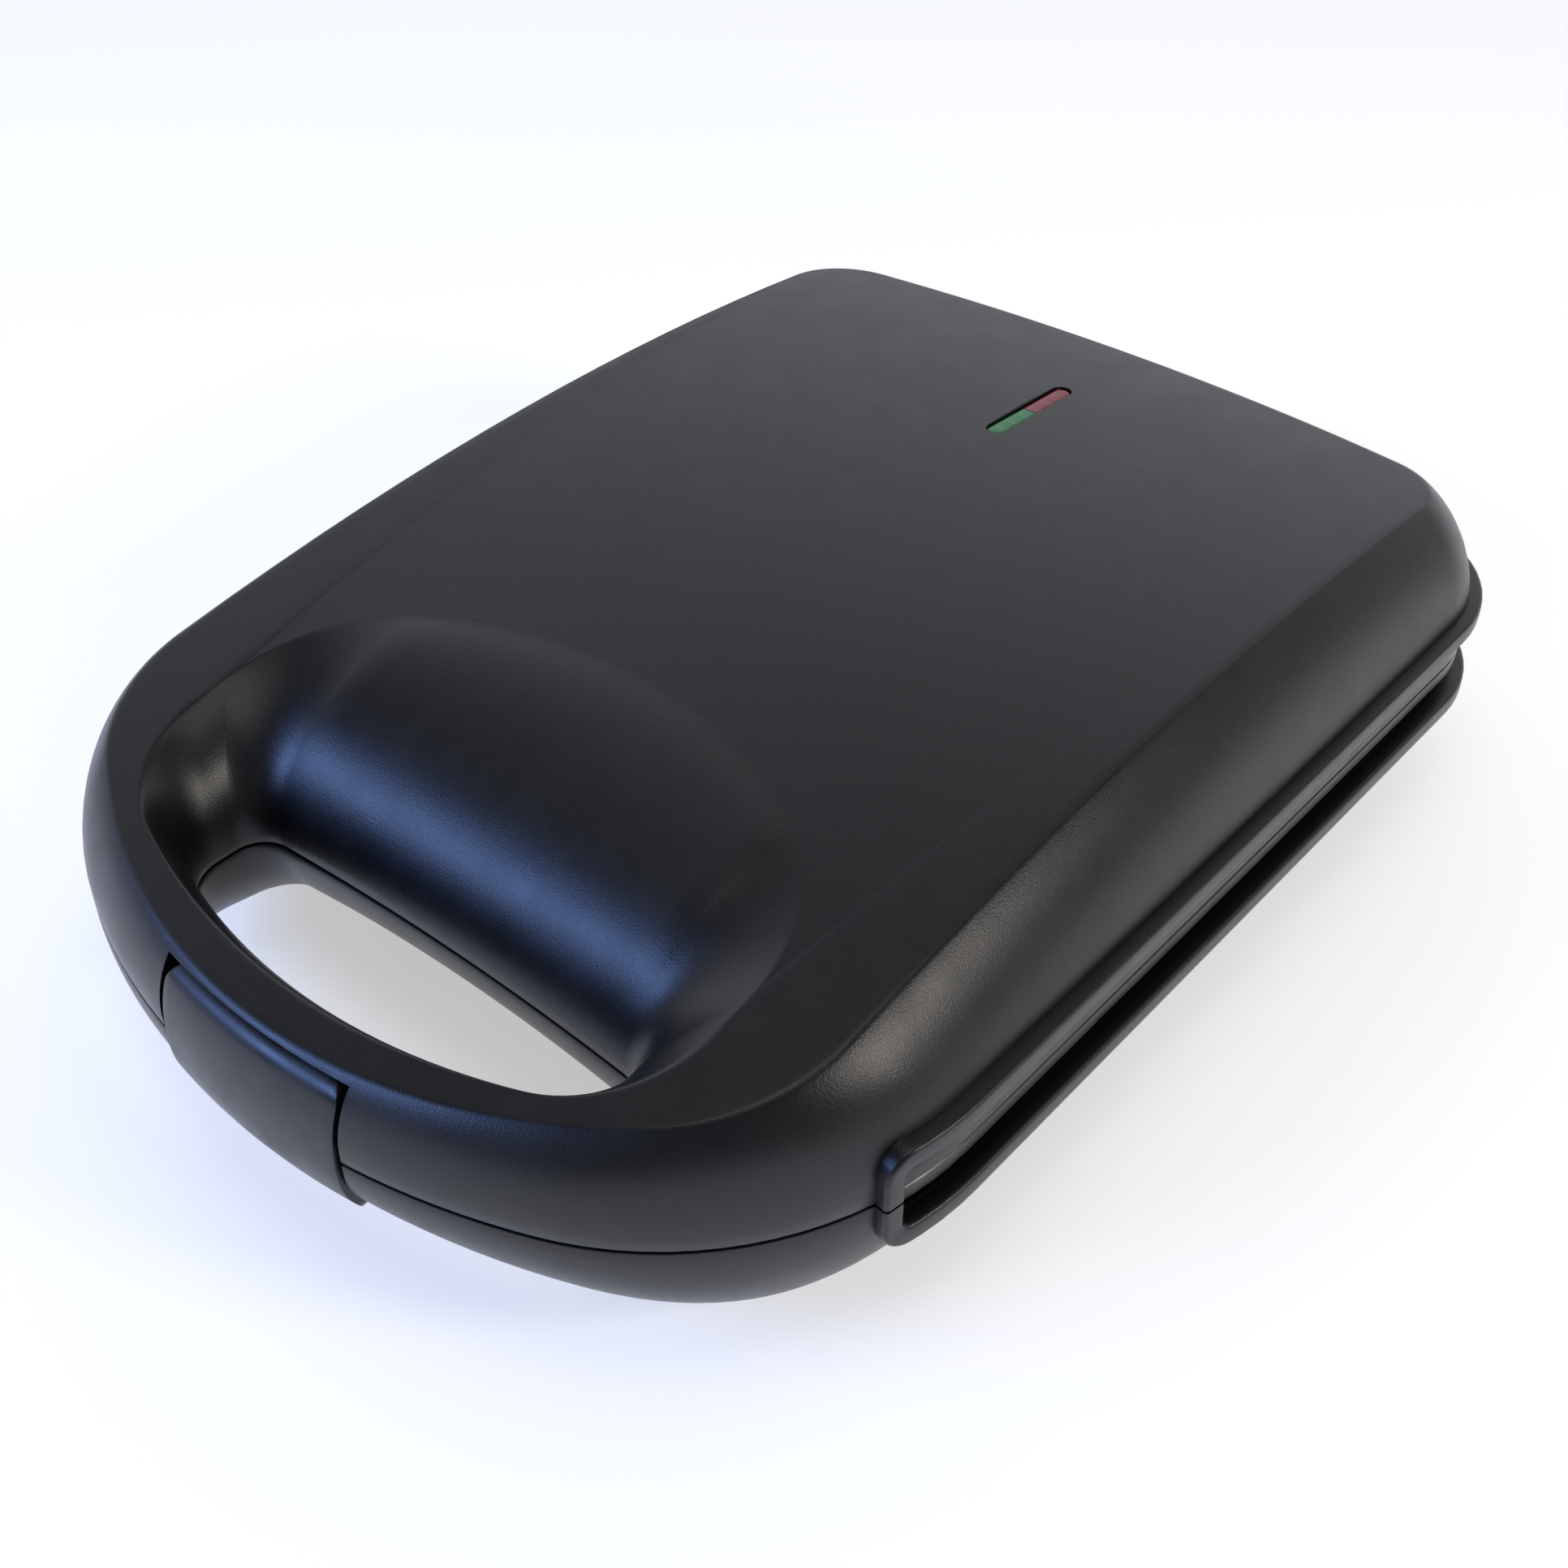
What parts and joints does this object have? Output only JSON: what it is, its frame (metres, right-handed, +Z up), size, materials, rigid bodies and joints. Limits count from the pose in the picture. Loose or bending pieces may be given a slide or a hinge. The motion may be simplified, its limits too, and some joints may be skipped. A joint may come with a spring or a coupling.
{
  "type": "sandwich maker",
  "caption": "Clamshell sandwich maker with an arched lid, a through handle opening, a swinging latch clip, a rear hinge and pocketed non-stick cooking plates.",
  "frame": {"origin": "middle of the overall footprint, on the surface that the four feet stand on", "axes": "+Z up, +Y towards the hinge at the rear, so the handle and latch face -Y; +X to the right seen from the front"},
  "size_m": [0.268, 0.3936, 0.0952],
  "materials": {
    "shell_plastic": "fine spark-eroded grain",
    "frame_plastic": "semi-gloss moulded",
    "latch_plastic": "satin moulded",
    "nonstick_aluminium": "die-cast with a dark non-stick coating",
    "steel": "plain drawn or stamped",
    "heater_sheath": "heat-tinted tube",
    "aluminium": "bright pressed sheet",
    "red_lens": "clear tinted",
    "green_lens": "clear tinted",
    "lamp_glass": "clear bulb",
    "ceramic": "unglazed",
    "tray_plastic": "natural moulded",
    "rubber": "moulded"
  },
  "bodies": {
    "base": {"base_shell": "shell_plastic", "base_latch_seat": "shell_plastic", "base_frame": "frame_plastic", "thermostat": "ceramic", "thermal_fuse": "ceramic", "terminal_block": "ceramic", "cord_gland": "rubber", "foot_front_left": "rubber", "foot_front_right": "rubber", "foot_rear_left": "rubber", "foot_rear_right": "rubber", "hinge_pin_left": "steel", "hinge_pin_right": "steel", "lower_plate": "nonstick_aluminium", "lower_heater": "heater_sheath", "lower_heater_clamp": "steel", "lower_reflector": "aluminium", "lower_frame_screw_1": "steel", "lower_frame_screw_2": "steel", "lower_frame_screw_3": "steel", "lower_frame_screw_4": "steel"},
    "lid": {"lid_shell": "shell_plastic", "lid_frame": "frame_plastic", "green_lens": "green_lens", "red_lens": "red_lens", "green_lamp": "lamp_glass", "red_lamp": "lamp_glass", "lamp_tray": "tray_plastic", "latch_pin": "steel", "upper_plate": "nonstick_aluminium", "upper_heater": "heater_sheath", "upper_heater_clamp": "steel", "upper_reflector": "aluminium", "upper_frame_screw_1": "steel", "upper_frame_screw_2": "steel", "upper_frame_screw_3": "steel", "upper_frame_screw_4": "steel"},
    "latch": {"latch_clip": "latch_plastic"}
  },
  "joints": [
    {"name": "lid_hinge", "type": "hinge", "parent": "base", "child": "lid", "pos_m": [0, 0.1903, 0.0457], "axis": [-1, 0, 0], "range_deg": [0, 100]},
    {"name": "latch_hinge", "type": "hinge", "parent": "lid", "child": "latch", "pos_m": [0, -0.1872, 0.0582], "axis": [-1, 0, 0], "range_deg": [0, 25]}
  ]
}
